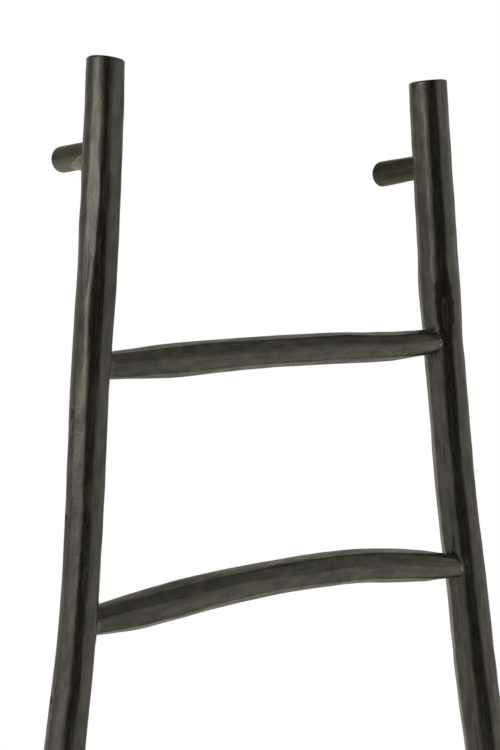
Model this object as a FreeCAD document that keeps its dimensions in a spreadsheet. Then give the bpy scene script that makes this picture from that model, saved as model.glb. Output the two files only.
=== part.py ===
import FreeCAD, Part
import math
import os

import Sketcher

# A decorative ladder of hand-hewn poles, in millimetres: two splayed, naturally bent rails,
# five curved rungs whittled down to round tenons, and two pegs that keep the rails off the wall.
# On the bench the ladder's plane is XZ: +X is its right seen from the front, +Y points to the wall
# and +Z runs up the rails. The finished pieces lean back and their footprint is centred on the origin.

# Driving sizes: name, value, what it measures
DRIVING_SIZES = (
    ("left_rail_dia", 42.5, "mean diameter of the left pole"),
    ("right_rail_dia", 47.5, "mean diameter of the right pole"),
    ("top_spacing", 460, "rail axis to rail axis at the top"),
    ("foot_spacing", 720, "rail axis to rail axis at the floor"),
    ("foot_gap", 325, "floor to the bottom rung, along the rail"),
    ("rung_spacing", 275, "rung to rung, along the rail"),
    ("top_gap", 326, "top rung to the top of the rails"),
    ("rung_dia", 37, "mean diameter of a rung"),
    ("tenon_dia", 28, "round tenon at each rung end"),
    ("tenon_shoulder", 2, "step from a tenon up to the hewn pole"),
    ("tenon_past_axis", 8, "how far a rung tenon runs past the rail's axis"),
    ("tenon_end_gap", 0.5, "glue room at the floor of a mortise"),
    ("fit_clearance", 0.15, "radial clearance of a tenon or pin in its hole"),
    ("peg_dia", 30.3, "mean diameter of a wall peg"),
    ("peg_tenon_dia", 24, "round tenon of a wall peg"),
    ("peg_drop", 102, "peg axis below the top of the rails"),
    ("peg_reach", 94, "ladder's plane to the wall end of a peg"),
    ("peg_toe_in", 5, "how far the wall end of a peg leans towards the other peg"),
    ("pin_dia", 6, "locking pin through a rung tenon"),
    ("pin_length", 33, "locking pin, from the back of the rail"),
    ("rim_bevel", 1.6, "broken edge round the cut ends of the poles"),
    ("lean_angle", 3.4, "degrees the ladder leans towards the wall"),
)

# Corners of the hewn outline, left by the drawknife: share of a full turn, share of half the diameter
HEWN_CORNER_SHARES = (
    (0.00, 1.04),
    (0.13, 1.00),
    (0.25, 1.03),
    (0.38, 1.02),
    (0.50, 1.04),
    (0.63, 1.00),
    (0.74, 1.03),
    (0.87, 1.02),
)
WIDEST_CORNER_SHARE = max(radius_share for _, radius_share in HEWN_CORNER_SHARES)

# Each rail at equal steps from its foot to its top: shares of the pole's diameter for its sideways sway,
# its bow towards the wall and its girth, then the twist of the hewn outline in degrees
RAIL_STATION_SHARES = {
    "left": (
        (0.00, 0.00, 1.09, 0),
        (-0.17, 0.04, 1.07, 5),
        (-0.34, 0.07, 1.06, 9),
        (-0.51, 0.09, 1.07, 12),
        (-0.67, 0.10, 1.04, 13),
        (-0.79, 0.09, 1.05, 10),
        (-0.85, 0.07, 1.03, 5),
        (-0.82, 0.04, 1.04, -2),
        (-0.64, 0.01, 1.05, -7),
        (-0.38, -0.02, 0.99, -10),
        (-0.27, -0.04, 0.98, -8),
        (-0.22, -0.05, 1.00, -3),
        (-0.10, -0.05, 1.01, 3),
        (-0.02, -0.02, 1.01, 7),
        (0.02, 0.00, 0.96, 8),
    ),
    "right": (
        (0.00, 0.00, 1.08, 20),
        (0.03, -0.03, 1.06, 16),
        (0.07, -0.05, 1.05, 10),
        (0.10, -0.07, 1.06, 4),
        (0.12, -0.08, 1.04, -2),
        (0.10, -0.09, 1.05, -6),
        (0.04, -0.09, 1.03, -9),
        (-0.05, -0.07, 1.05, -8),
        (-0.15, -0.04, 1.07, -4),
        (-0.19, 0.00, 1.03, 2),
        (-0.24, 0.03, 1.02, 7),
        (-0.21, 0.05, 1.00, 11),
        (-0.15, 0.05, 1.01, 12),
        (-0.06, 0.02, 0.99, 8),
        (0.03, 0.00, 0.97, 4),
    ),
}

# Rungs from the bottom up. Shares of the rung diameter: the right end's lift above the left, then, at equal
# steps from shoulder to shoulder, the rise above the straight line and the girth between the tenons. The
# twist turns the hewn outline, in degrees
RUNGS = {
    "bottom_rung": {
        "twist": 9,
        "lift_share": 0.20,
        "rise_shares": (0, 0.08, 0.17, 0.25, 0.31, 0.34, 0.33, 0.27, 0.18, 0.08, 0),
        "girth_shares": (1.04, 1.11, 1.12, 1.10, 1.08, 1.09, 1.11, 1.10, 1.02),
    },
    "fourth_rung": {
        "twist": -12,
        "lift_share": 0.12,
        "rise_shares": (0, -0.03, -0.08, -0.13, -0.17, -0.17, -0.14, -0.08, -0.02, 0.01, 0),
        "girth_shares": (1.00, 1.07, 1.05, 1.03, 1.01, 1.03, 1.06, 1.07, 0.99),
    },
    "third_rung": {
        "twist": 5,
        "lift_share": 0.30,
        "rise_shares": (0, 0.03, 0.08, 0.15, 0.21, 0.24, 0.23, 0.17, 0.09, 0.03, 0),
        "girth_shares": (0.99, 1.05, 1.06, 1.05, 1.03, 1.01, 1.02, 1.04, 0.97),
    },
    "second_rung": {
        "twist": -4,
        "lift_share": 0.35,
        "rise_shares": (0, 0.11, 0.26, 0.40, 0.49, 0.54, 0.56, 0.52, 0.38, 0.21, 0),
        "girth_shares": (1.06, 1.12, 1.10, 1.07, 1.05, 1.07, 1.08, 1.09, 1.01),
    },
    "top_rung": {
        "twist": -4,
        "lift_share": 0.43,
        "rise_shares": (0, 0.01, 0.03, 0.06, 0.08, 0.08, 0.06, 0.03, -0.02, -0.03, 0),
        "girth_shares": (0.97, 1.04, 1.01, 0.99, 0.98, 0.99, 0.99, 0.96, 0.92),
    },
}
RUNG_NAMES = list(RUNGS)

# A wall peg swells a little towards its wall end, at equal steps along its free length
PEG_GIRTH_SHARES = (0.98, 1.01, 1.04)
PEG_TWIST = 7

# The back end of a locking pin lies just under the round of the rail
PIN_FLUSH_SHARE = 0.95

# Each side's direction away from the ladder's middle
OUTWARD = {"left": -1, "right": 1}

doc = FreeCAD.newDocument("ladder")
sheet = doc.addObject("Spreadsheet::Sheet", "sizes")
for row, (alias, value, note) in enumerate(DRIVING_SIZES, 1):
    sheet.set(f"A{row}", note)
    sheet.set(f"B{row}", str(value))
    sheet.setAlias(f"B{row}", alias)
doc.recompute()

RAIL_LENGTH = f"(sizes.foot_gap + {len(RUNGS) - 1} * sizes.rung_spacing + sizes.top_gap)"
PEG_HEIGHT = f"({RAIL_LENGTH} - sizes.peg_drop)"
SPLAY_ANGLE = f"atan((sizes.foot_spacing - sizes.top_spacing) / 2 / {RAIL_LENGTH})"
MORTISE_DIA = "sizes.tenon_dia + 2 * sizes.fit_clearance"
PIN_HOLE_DIA = "sizes.pin_dia + 2 * sizes.fit_clearance"
ABOUT_X = FreeCAD.Vector(1, 0, 0)
ABOUT_Y = FreeCAD.Vector(0, 1, 0)


def rail_shares(side, height):
    # Sway, bow, girth and twist of a rail at a height, in between its two nearest stations
    stations = RAIL_STATION_SHARES[side]
    steps = sheet.evalExpression(f"{height} / {RAIL_LENGTH}") * (len(stations) - 1)
    below = min(int(steps), len(stations) - 2)
    mix = steps - below
    return [low + mix * (high - low) for low, high in zip(stations[below], stations[below + 1])]


def axis_x(side, height):
    # The straight line from foot to top, with the pole's sway added
    spread = f"(sizes.foot_spacing - (sizes.foot_spacing - sizes.top_spacing) * {height} / {RAIL_LENGTH})"
    sway = rail_shares(side, height)[0]
    return f"({OUTWARD[side]} / 2 * {spread} + {sway:.4f} * sizes.{side}_rail_dia)"


def axis_y(side, height):
    return f"({rail_shares(side, height)[1]:.4f} * sizes.{side}_rail_dia)"


def rail_radius(side, height):
    return f"({rail_shares(side, height)[2]:.4f} / 2 * sizes.{side}_rail_dia)"


def joint_height(name, side):
    # A rung's end stands half its lift above or below the rung's own height
    middle = f"sizes.foot_gap + {RUNG_NAMES.index(name)} * sizes.rung_spacing"
    return f"({middle} + {OUTWARD[side]} / 2 * {RUNGS[name]['lift_share']} * sizes.rung_dia)"


def pin_back(side, height):
    return f"({axis_y(side, height)} + {PIN_FLUSH_SHARE} * {rail_radius(side, height)})"


def sketch_on(body, name, role, place, turn=None):
    # A sketch on one of the body's own planes, shifted along the plane's two axes and its normal,
    # and turned about an axis through its own origin
    sketch = body.newObject("Sketcher::SketchObject", name)
    plane = next(feature for feature in body.Origin.OriginFeatures if feature.Role == role)
    sketch.AttachmentSupport = [(plane, "")]
    sketch.MapMode = "FlatFace"
    for axis, expression in zip("xyz", place):
        sketch.setExpression(f"AttachmentOffset.Base.{axis}", expression)
    if turn:
        about, angle = turn
        sketch.AttachmentOffset = FreeCAD.Placement(FreeCAD.Vector(), FreeCAD.Rotation(about, 1))
        sketch.setExpression("AttachmentOffset.Rotation.Angle", angle)
    return sketch


def draw_hewn(sketch, diameter, twist):
    # A ring of drawknife flats round the pole, in shares of its diameter
    size = sheet.evalExpression(diameter)
    shares = []
    for turn_share, radius_share in HEWN_CORNER_SHARES:
        angle = math.radians(twist) + turn_share * math.tau
        shares.append((radius_share * math.cos(angle) / 2, radius_share * math.sin(angle) / 2))
    corners = [FreeCAD.Vector(x_share * size, y_share * size, 0) for x_share, y_share in shares]
    count = len(corners)
    flats = [Part.LineSegment(corners[i], corners[(i + 1) % count]) for i in range(count)]
    sketch.addGeometry(flats, False)
    rules = [Sketcher.Constraint("Coincident", i, 2, (i + 1) % count, 1) for i in range(count)]
    for i, corner in enumerate(corners):
        rules.append(Sketcher.Constraint("DistanceX", -1, 1, i, 1, corner.x))
        rules.append(Sketcher.Constraint("DistanceY", -1, 1, i, 1, corner.y))
    sketch.addConstraint(rules)
    for i, (x_share, y_share) in enumerate(shares):
        sketch.setExpression(f"Constraints[{count + 2 * i}]", f"{x_share:.5f} * ({diameter})")
        sketch.setExpression(f"Constraints[{count + 2 * i + 1}]", f"{y_share:.5f} * ({diameter})")
    return sketch


def draw_circle(sketch, diameter):
    size = sheet.evalExpression(diameter)
    sketch.addGeometry(Part.Circle(FreeCAD.Vector(), FreeCAD.Vector(0, 0, 1), size / 2), False)
    sketch.addConstraint(Sketcher.Constraint("Coincident", 0, 3, -1, 1))
    sketch.addConstraint(Sketcher.Constraint("Diameter", 0, size))
    sketch.setExpression("Constraints[1]", diameter)
    return sketch


def loft(body, name, sections, ruled=False):
    pole = body.newObject("PartDesign::AdditiveLoft", name)
    pole.Profile = sections[0]
    pole.Sections = sections[1:]
    pole.Ruled = ruled


def pad(body, name, sketch, length, reversed_way=False):
    tenon = body.newObject("PartDesign::Pad", name)
    tenon.Profile = sketch
    tenon.Reversed = reversed_way
    tenon.setExpression("Length", length)


def bore(body, name, sketch, length, reversed_way=False, both_ways=False):
    hole = body.newObject("PartDesign::Pocket", name)
    hole.Profile = sketch
    hole.Reversed = reversed_way
    hole.Midplane = both_ways
    hole.setExpression("Length", length)


def hewn_rail(body, side):
    # The bent pole is a loft, and a short ruled loft breaks the sharp edge of each cut end.
    # The foot is cut level with the floor, the top square to the splayed pole
    foot_turn = (ABOUT_X, "sizes.lean_angle")
    top_turn = (ABOUT_Y, f"{-OUTWARD[side]} * {SPLAY_ANGLE}")
    stations = RAIL_STATION_SHARES[side]
    last = len(stations) - 1
    sections = []
    ends = []
    for number, (_, _, girth, twist) in enumerate(stations):
        height = f"({number} / {last} * {RAIL_LENGTH})"
        diameter = f"{girth} * sizes.{side}_rail_dia"
        turn = {0: foot_turn, last: top_turn}.get(number)
        inset = {0: "sizes.rim_bevel", last: "-sizes.rim_bevel"}.get(number, "0")
        place = (axis_x(side, height), axis_y(side, height), f"{height} + {inset}")
        sketch = sketch_on(body, f"{side}_rail_section_{number}", "XY_Plane", place, turn)
        sections.append(draw_hewn(sketch, diameter, twist))
        if turn:
            cut_place = (axis_x(side, height), axis_y(side, height), height)
            cut = sketch_on(body, f"{side}_rail_cut_{number}", "XY_Plane", cut_place, turn)
            ends.append(draw_hewn(cut, f"{diameter} - 2 * sizes.rim_bevel", twist))
    loft(body, f"{side}_rail_pole", sections)
    loft(body, f"{side}_rail_foot_rim", [sections[0], ends[0]], ruled=True)
    loft(body, f"{side}_rail_top_rim", [sections[-1], ends[-1]], ruled=True)


def make_rail(side):
    body = doc.addObject("PartDesign::Body", f"{side}_rail")
    hewn_rail(body, side)
    across = f"sizes.{side}_rail_dia"
    for name in RUNG_NAMES:
        height = joint_height(name, side)
        middle = axis_x(side, height)
        floor = f"{middle} + {OUTWARD[side]} * (sizes.tenon_past_axis + sizes.tenon_end_gap)"
        mortise = sketch_on(body, f"{side}_{name}_mortise", "YZ_Plane", (axis_y(side, height), height, floor))
        draw_circle(mortise, MORTISE_DIA)
        bore(body, f"{side}_{name}_mortise_bore", mortise, across, reversed_way=side == "left")

        depth = f"sizes.pin_length - {pin_back(side, height)}"
        pin_hole = sketch_on(body, f"{side}_{name}_pin_hole", "XZ_Plane", (middle, height, depth))
        draw_circle(pin_hole, PIN_HOLE_DIA)
        bore(body, f"{side}_{name}_pin_bore", pin_hole, across)

    place = (axis_x(side, PEG_HEIGHT), PEG_HEIGHT, "sizes.tenon_end_gap")
    socket = sketch_on(body, f"{side}_peg_socket", "XZ_Plane", place)
    draw_circle(socket, "sizes.peg_tenon_dia + 2 * sizes.fit_clearance")
    bore(body, f"{side}_peg_socket_bore", socket, across)
    return body


def make_rung(name):
    body = doc.addObject("PartDesign::Body", name)
    rises = RUNGS[name]["rise_shares"]
    height = {side: joint_height(name, side) for side in OUTWARD}
    depth = {side: axis_y(side, height[side]) for side in OUTWARD}
    middle = {side: axis_x(side, height[side]) for side in OUTWARD}
    # A shoulder stops at the widest corner of the hewn rail
    flank = {side: f"{WIDEST_CORNER_SHARE} * {rail_radius(side, height[side])}" for side in OUTWARD}
    seat = {side: f"({middle[side]} - {OUTWARD[side]} * {flank[side]})" for side in OUTWARD}
    shoulder_dia = "sizes.tenon_dia + 2 * sizes.tenon_shoulder"
    girths = [f"{share} * sizes.rung_dia" for share in RUNGS[name]["girth_shares"]]
    sections = []
    for number, girth in enumerate([shoulder_dia, *girths, shoulder_dia]):
        run = f"{number} / {len(rises) - 1}"
        across, upward, along = [
            f"{ends['left']} + {run} * ({ends['right']} - {ends['left']})" for ends in (depth, height, seat)
        ]
        place = (across, f"{upward} + {rises[number]} * sizes.rung_dia", along)
        sketch = sketch_on(body, f"{name}_section_{number}", "YZ_Plane", place)
        sections.append(draw_hewn(sketch, girth, RUNGS[name]["twist"]))
    loft(body, f"{name}_pole", sections)

    for side in OUTWARD:
        tenon = sketch_on(body, f"{name}_{side}_tenon", "YZ_Plane", (depth[side], height[side], seat[side]))
        draw_circle(tenon, "sizes.tenon_dia")
        pad(body, f"{name}_{side}_tenon_pad", tenon, f"{flank[side]} + sizes.tenon_past_axis", side == "left")
        pin_hole = sketch_on(body, f"{name}_{side}_pin_hole", "XZ_Plane", (middle[side], height[side], "0"))
        draw_circle(pin_hole, PIN_HOLE_DIA)
        bore(body, f"{name}_{side}_pin_bore", pin_hole, f"sizes.{side}_rail_dia", both_ways=True)
    return body


def make_peg(side):
    body = doc.addObject("PartDesign::Body", f"{side}_wall_peg")
    middle = axis_x(side, PEG_HEIGHT)
    seat = f"({axis_y(side, PEG_HEIGHT)} + {WIDEST_CORNER_SHARE} * {rail_radius(side, PEG_HEIGHT)})"
    free_length = f"(sizes.peg_reach - sizes.rim_bevel - {seat})"
    steps = len(PEG_GIRTH_SHARES)
    stations = [(seat, "sizes.peg_tenon_dia + 2 * sizes.tenon_shoulder")]
    for number, girth in enumerate(PEG_GIRTH_SHARES, 1):
        stations.append((f"({seat} + {number} / {steps} * {free_length})", f"{girth} * sizes.peg_dia"))
    stations.append(("sizes.peg_reach", f"{PEG_GIRTH_SHARES[-1]} * sizes.peg_dia - 2 * sizes.rim_bevel"))
    sections = []
    for number, (reach, diameter) in enumerate(stations):
        # The wall end is cut upright, so that it lies flat on the wall when the ladder leans
        turn = (ABOUT_X, "sizes.lean_angle") if number >= steps else None
        name = f"{side}_wall_peg_section_{number}"
        toe = f"{middle} - {OUTWARD[side]} * {min(number, steps)} / {steps} * sizes.peg_toe_in"
        sketch = sketch_on(body, name, "XZ_Plane", (toe, PEG_HEIGHT, f"-{reach}"), turn)
        sections.append(draw_hewn(sketch, diameter, PEG_TWIST))
    loft(body, f"{side}_wall_peg_pole", sections[:-1])
    loft(body, f"{side}_wall_peg_rim", sections[-2:], ruled=True)
    tenon = sketch_on(body, f"{side}_wall_peg_tenon", "XZ_Plane", (middle, PEG_HEIGHT, f"-{seat}"))
    draw_circle(tenon, "sizes.peg_tenon_dia")
    pad(body, f"{side}_wall_peg_tenon_pad", tenon, seat)
    return body


def make_pins():
    pins = []
    for name in RUNG_NAMES:
        for side in OUTWARD:
            height = joint_height(name, side)
            pin = doc.addObject("Part::Cylinder", f"{name}_{side}_pin")
            pin.Placement.Rotation = FreeCAD.Rotation(ABOUT_X, -90)
            pin.setExpression("Radius", "sizes.pin_dia / 2")
            pin.setExpression("Height", "sizes.pin_length")
            pin.setExpression("Placement.Base.x", axis_x(side, height))
            pin.setExpression("Placement.Base.y", f"{pin_back(side, height)} - sizes.pin_length")
            pin.setExpression("Placement.Base.z", height)
            pins.append(pin)
    group = doc.addObject("Part::Compound", "rung_lock_pins")
    group.Links = pins
    return group


pieces = [make_rail(side) for side in OUTWARD]
pieces += [make_rung(name) for name in RUNG_NAMES]
pieces += [make_peg(side) for side in OUTWARD]
pieces.append(make_pins())
doc.recompute()

# Lean the ladder on its pegs and centre its footprint on the origin
lean = FreeCAD.Rotation(ABOUT_X, -sheet.lean_angle)
for piece in pieces:
    piece.Placement = FreeCAD.Placement(FreeCAD.Vector(), lean)
box = FreeCAD.BoundBox()
for piece in pieces:
    box.add(piece.Shape.optimalBoundingBox(False))
footprint = FreeCAD.Vector(-box.Center.x, -box.Center.y, -box.ZMin)
for piece in pieces:
    piece.Placement = FreeCAD.Placement(footprint, lean)
doc.recompute()

for item in doc.Objects:
    if "Invalid" in item.State or "Error" in item.State:
        raise RuntimeError(f"{item.Label} failed: {item.State}")
    if item.TypeId == "PartDesign::Pocket" and item.Shape.Volume >= item.BaseFeature.Shape.Volume:
        raise RuntimeError(f"{item.Label} cuts nothing")
os.makedirs("parts", exist_ok=True)
for piece in pieces:
    if piece.Shape.isNull() or not piece.Shape.isValid():
        raise RuntimeError(f"{piece.Label} has no valid shape")
    print(piece.Label, len(piece.Shape.Solids), "solids", round(piece.Shape.Volume), "mm3")
    piece.Shape.exportStep(f"parts/{piece.Label}.step")
print("footprint shift", footprint)
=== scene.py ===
import bpy
import numpy as np
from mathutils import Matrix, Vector


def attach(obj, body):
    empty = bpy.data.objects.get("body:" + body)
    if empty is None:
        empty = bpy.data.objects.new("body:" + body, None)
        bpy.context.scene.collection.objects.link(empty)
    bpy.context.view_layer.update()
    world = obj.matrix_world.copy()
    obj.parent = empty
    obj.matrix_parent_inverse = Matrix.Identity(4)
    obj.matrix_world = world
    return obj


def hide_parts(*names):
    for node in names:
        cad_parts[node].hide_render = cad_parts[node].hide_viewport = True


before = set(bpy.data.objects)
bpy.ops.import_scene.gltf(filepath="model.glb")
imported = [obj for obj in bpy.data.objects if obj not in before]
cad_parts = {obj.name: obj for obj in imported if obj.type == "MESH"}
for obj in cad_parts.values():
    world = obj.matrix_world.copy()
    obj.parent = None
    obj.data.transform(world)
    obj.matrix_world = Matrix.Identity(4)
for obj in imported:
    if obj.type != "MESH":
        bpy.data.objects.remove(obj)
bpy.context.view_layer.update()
scene = bpy.context.scene
fullTurn = 2 * np.pi
print("frame loaded:", ", ".join(sorted(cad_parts)))

# bench sizes in metres: the ladder's plane is XZ, +Y points to the wall, +Z runs up the rails
ladder = {
    "lean": np.radians(3.4),
    "shift": (-0.000394, -0.083181),  # centres the leaning footprint
    "length": 1.751,
    "topSpacing": 0.460,
    "footSpacing": 0.720,
    "footGap": 0.325,  # from the feet to the bottom rung
    "rungSpacing": 0.275,
    # where the drawknife flats face, in turns
    "flats": (0.065, 0.19, 0.315, 0.44, 0.565, 0.685, 0.805, 0.935),
    "outward": {"left": -1, "right": 1},
}


def leanBack(points):  # turns bench points about X by the lean, then shifts them onto the footprint
    c, s = np.cos(ladder["lean"]), np.sin(ladder["lean"])
    x, y, z = np.moveaxis(points, -1, 0)
    return np.stack([x + ladder["shift"][0], y * c + z * s + ladder["shift"][1], z * c - y * s], -1)


def alongTable(values, share):  # cubic through equally spaced values, each with the slope of its neighbours
    values = np.asarray(values, float)
    row = np.concatenate([2 * values[:1] - values[1:2], values, 2 * values[-1:] - values[-2:-1]])
    place = np.clip(share, 0, 1) * (len(values) - 1)
    low = np.minimum(place.astype(int), len(values) - 2)
    t = place - low
    a, b, c, d = (row[low + i] for i in range(4))
    return b + t / 2 * (c - a + t * (2 * a - 5 * b + 4 * c - d + t * (3 * (b - c) + d - a)))


def ease(low, high, value):  # smooth step from 0 at low to 1 at high
    t = np.clip((value - low) / (high - low), 0, 1)
    return t * t * (3 - 2 * t)


def bell(distance, width):  # 1 in the middle, falling off smoothly on both sides
    return np.exp(-(distance / width) ** 2)


def swing(angle):  # an angle brought between minus half a turn and half a turn
    return (angle + np.pi) % fullTurn - np.pi


def turnsRound(count):  # the angles of points spaced evenly round a pole
    return np.arange(count) * fullTurn / count


# hewn poles

knife = {
    "step": (0.6, 0.95),  # from one stroke to the next, as a share of a stroke
    "spare": 2.4,  # strokes drawn for each shortest length of the pole, more than a row needs
    "start": (0.3, 1),  # how far before the pole's end a row begins, as a share of the longest stroke
    "overlap": 1.25,
    "grazing": 0.2,  # least cosine between a plane's facing and a point's
    "steepest": 60,  # keeps the soft minimum's powers in range
    "ridge": 0.0004,  # width of the ridge between two flats
}


def knifeStrokes(seed, length, facings, stroke):
    # rows of strokes along the pole, one row for each flat: facing, middle, half length and depth
    rng = np.random.default_rng(seed)
    shortest, longest = stroke["length"]
    strokes = []
    for facing in facings:
        count = int(knife["spare"] * length / shortest) + 2
        steps = rng.uniform(*knife["step"], count) * rng.uniform(shortest, longest)
        middles = np.cumsum(steps) - rng.uniform(*knife["start"]) * longest
        for middle in middles[middles < length + shortest]:
            strokes.append((facing + rng.normal(0, stroke["jitter"]), middle,
                            rng.uniform(shortest, longest) / 2 * knife["overlap"],
                            rng.uniform(*stroke["cut"])))
    return strokes


def hewnRadius(turn, along, radius, strokes, crisp, roundShare=1.02):
    # soft minimum of the round pole and the strokes: a stroke is a plane that faces one way, lies deepest
    # at its middle and runs out of the wood at both ends; also tells how close each point is to a ridge
    base = np.repeat((radius * roundShare)[:, None], len(turn), 1)
    total = np.ones_like(base)
    lowest = base.copy()
    second = base + 1
    for facing, middle, half, cut in strokes:  # facing is one angle, or one for each place along
        reach = radius * (1 - cut + (cut + roundShare - 1) * ((along - middle) / half) ** 2)
        gap = np.cos(turn[None, :] - np.broadcast_to(facing, along.shape)[:, None])
        plane = reach[:, None] / np.maximum(gap, knife["grazing"])
        total += np.exp(np.clip((base - plane) * crisp, -knife["steepest"], knife["steepest"]))
        second = np.minimum(second, np.maximum(lowest, plane))
        lowest = np.minimum(lowest, plane)
    return base - np.log(total) / crisp, np.exp(-(second - lowest) / knife["ridge"])


def wander(seed, turn, along, grown):
    # sum of a few slow sine waves round and along the pole: grown unevenness
    rng = np.random.default_rng(seed)
    field = np.zeros((len(along), len(turn)))
    for _ in range(grown["waves"]):
        pitch = rng.uniform(*grown["pitch"])
        lobes = rng.integers(*grown["lobes"])
        phase = rng.uniform(0, fullTurn, 2)
        lengthwise = np.sin(fullTurn * along / pitch + phase[0])
        field += lengthwise[:, None] * np.cos(lobes * turn + phase[1])[None, :]
    return field * grown["height"] / np.sqrt(grown["waves"])


scarShape = {
    "edge": (0.72, 1.02),  # the dull patch fades out between these shares of its half size
    "hollow": 1.1,  # and its hollow ends here
    "slant": 1.2,  # how far out the slanting edge goes on
    "ragged": (0.10, 9, 60),  # the patch's edge: strength, waves round the pole, waves along it
    "frayed": (0.05, 23),
    "knot": (0.17, 0.22),  # half width and half length of the knot, as shares of the scar's
    "knotSteep": 6,
    "knotBright": 0.8,
}


def scarField(turn, along, scars):
    # branch scars: an ellipse on the surface, hollowed by its depth, with a knot whose rim stands up in it
    dent = np.zeros((len(along), len(turn)))
    dull = np.zeros_like(dent)
    ragged, wavesRound, wavesAlong = scarShape["ragged"]
    frayed, teeth = scarShape["frayed"]
    wide, tall = scarShape["knot"]
    for scar in scars:
        above = (along - scar["at"])[:, None]
        level = above / scar["half"]
        # one edge stays straight, the other slants
        narrow = scar.get("taper", 0) * np.clip(level, -scarShape["slant"], scarShape["slant"])
        across = swing(turn[None, :] - np.radians(scar["facing"] + scar["spread"] * narrow))
        away = np.sqrt((across / np.radians(scar["spread"] * (1 - narrow))) ** 2 + level ** 2)
        edge = away + ragged * np.sin(wavesRound * across + wavesAlong * above)
        edge = edge + frayed * np.sin(teeth * level)
        dull = np.maximum(dull, 1 - ease(*scarShape["edge"], edge))
        dent += scar["depth"] * (1 - ease(0, scarShape["hollow"], away))
        core = np.sqrt((across / np.radians(scar["spread"] * wide)) ** 2 + (level / tall) ** 2)
        rim = np.exp(-(core - 1) ** 2 * scarShape["knotSteep"])
        dent -= scar["nib"] * rim
        dull = dull * (1 - scarShape["knotBright"] * rim)
    return dent, dull


nickShape = {"poleRadius": 0.022, "steep": 1.5}


def nickField(turn, along, nicks):
    # small cuts and pits, bells on the surface: facing, place, half width, half length, depth
    dent = np.zeros((len(along), len(turn)))
    for facing, at, wide, tall, depth in nicks:
        across = swing(turn[None, :] - np.radians(facing)) * nickShape["poleRadius"]
        away = (across / wide) ** 2 + ((along - at)[:, None] / tall) ** 2
        dent += depth * np.exp(-away * nickShape["steep"])
    return dent


def ringFaces(rows, count, first):  # quads between neighbouring rings of points, ring by ring from first
    i, j = np.meshgrid(np.arange(rows - 1), np.arange(count), indexing="ij")
    near, far = first + i * count + j, first + i * count + (j + 1) % count
    return np.stack([near, far, far + count, near + count], -1).reshape(-1, 4)


def fanFaces(tip, first, count):  # triangles from a tip to the ring of points that begins at first
    spoke = np.arange(count)
    return np.stack([np.full(count, tip), first + spoke, first + (spoke + 1) % count], -1)


poleEnd = {
    "rimSteps": 5,
    "capRings": 10,
    "cutEdge": 1.2,  # the sawn look is full at this share of the rim
}


def poleMesh(name, centre, across, upward, radius, turn, along, marks, rim):
    # a ring of points round each place of the centre line: centre + radius * (across * cos + upward * sin);
    # each end turns over a quarter-round rim and runs in to one middle point
    side = np.cos(turn)[None, :, None] * across[:, None] + np.sin(turn)[None, :, None] * upward[:, None]
    rings = centre[:, None] + radius[..., None] * side
    lengthwise = np.repeat(along[:, None], len(turn), 1)
    grain = np.stack([radius * np.cos(turn), radius * np.sin(turn), lengthwise], -1)
    rounding = np.linspace(0, np.pi / 2, poleEnd["rimSteps"])[1:]
    inward = np.linspace(1, 0, poleEnd["capRings"])[1:]
    parts = {"point": [rings], "grain": [grain], "marks": [marks]}
    for end in (0, -1):
        out = np.cross(across[end], upward[end]) * (1 if end else -1)
        mean = radius[end].mean()
        shrink = np.concatenate([1 - rim / mean * (1 - np.cos(rounding)), (1 - rim / mean) * inward])
        lift = np.concatenate([rim * np.sin(rounding), np.full(len(inward), rim)])
        spokes = (rings[end] - centre[end])[None] * shrink[:, None, None]
        capPoints = centre[end] + spokes + out * lift[:, None, None]
        capGrain = grain[end][None] * np.stack([shrink, shrink, np.ones_like(shrink)], -1)[:, None]
        capMarks = np.repeat(marks[end][None], len(shrink), 0)
        capMarks[..., 2] = ease(0, 1, (1 - shrink) / (poleEnd["cutEdge"] * rim / mean))[:, None]
        for key, rows in (("point", capPoints), ("grain", capGrain), ("marks", capMarks)):
            parts[key] = parts[key] + [rows] if end else [rows[::-1]] + parts[key]
    flat = {}
    for key, rows in parts.items():  # the first and the last ring are one point each
        grid = np.concatenate(rows)
        flat[key] = np.concatenate([grid[0, :1], grid[1:-1].reshape(-1, 3), grid[-1, :1]])
    count, rows = len(turn), len(grid) - 2
    last, top = len(flat["point"]) - 1, 1 + (rows - 1) * count
    fans = np.concatenate([fanFaces(0, 1, count)[:, [0, 2, 1]], fanFaces(last, top, count)])
    return meshPiece(name, leanBack(flat.pop("point")), ringFaces(rows, count, 1), fans, flat)


def meshPiece(name, points, quads, triangles, vectors):  # puts whole arrays into a mesh, smooth shaded
    corners = np.concatenate([quads.ravel(), triangles.ravel()]).astype(np.int32)
    sizes = np.concatenate([np.full(len(quads), 4), np.full(len(triangles), 3)])
    mesh = bpy.data.meshes.new(name)
    mesh.vertices.add(len(points))
    mesh.vertices.foreach_set("co", points.astype(np.float32).ravel())
    mesh.loops.add(len(corners))
    mesh.loops.foreach_set("vertex_index", corners)
    mesh.polygons.add(len(sizes))
    mesh.polygons.foreach_set("loop_start", (np.cumsum(sizes) - sizes).astype(np.int32))
    mesh.polygons.foreach_set("use_smooth", np.ones(len(sizes), bool))
    for key, values in vectors.items():
        attribute = mesh.attributes.new(key, "FLOAT_VECTOR", "POINT")
        attribute.data.foreach_set("vector", values.astype(np.float32).ravel())
    mesh.update(calc_edges=True)
    mesh.validate()
    piece = bpy.data.objects.new(name, mesh)
    scene.collection.objects.link(piece)
    return piece


def dress(piece, node, material):  # the piece stands in for a CAD node, which it hides, and takes the given material
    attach(piece, "root")
    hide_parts(node)
    piece.data.materials.append(material)


# shader maths

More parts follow.
